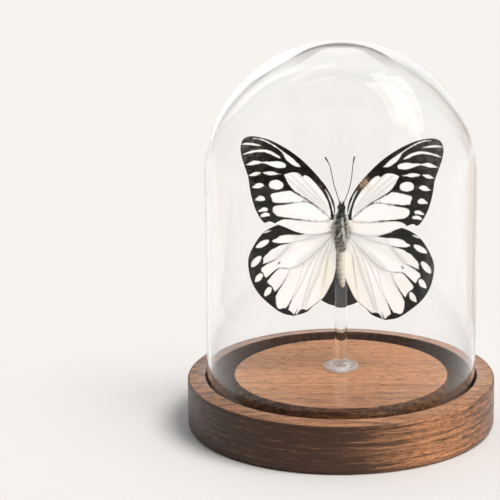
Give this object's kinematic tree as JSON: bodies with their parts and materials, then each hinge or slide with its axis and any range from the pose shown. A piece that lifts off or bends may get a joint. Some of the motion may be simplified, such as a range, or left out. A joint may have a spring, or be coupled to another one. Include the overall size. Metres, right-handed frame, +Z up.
{
  "type": "butterfly in a glass dome",
  "caption": "A spread white and black butterfly on a clear rod with a flanged foot, under a clear glass dome on a round walnut base with a ring groove.",
  "frame": {"origin": "centre of the base's underside", "axes": "+Z up through the dome, and the specimen's upper side faces -Y, with its left wings towards -X"},
  "size_m": [0.15, 0.15, 0.1909],
  "materials": {
    "walnut": "turned walnut, satin oil",
    "dome_glass": "clear blown glass",
    "clear_acrylic": "clear polished acrylic",
    "charcoal_board": "matt charcoal",
    "body_hair": "fine grey, cream and black hair",
    "wing_scales": "dry white wings with black scaling",
    "chitin": "dark satin chitin"
  },
  "bodies": {
    "root": {"wooden_base": "walnut", "glass_dome": "dome_glass", "support_rod": "clear_acrylic", "rod_foot": "clear_acrylic", "backing_disc": "charcoal_board", "butterfly_body": "body_hair", "left_forewing": "wing_scales", "right_forewing": "wing_scales", "left_hindwing": "wing_scales", "right_hindwing": "wing_scales", "left_antenna": "chitin", "right_antenna": "chitin", "left_middle_leg": "chitin", "right_middle_leg": "chitin", "left_hind_leg": "chitin", "right_hind_leg": "chitin"}
  },
  "joints": []
}
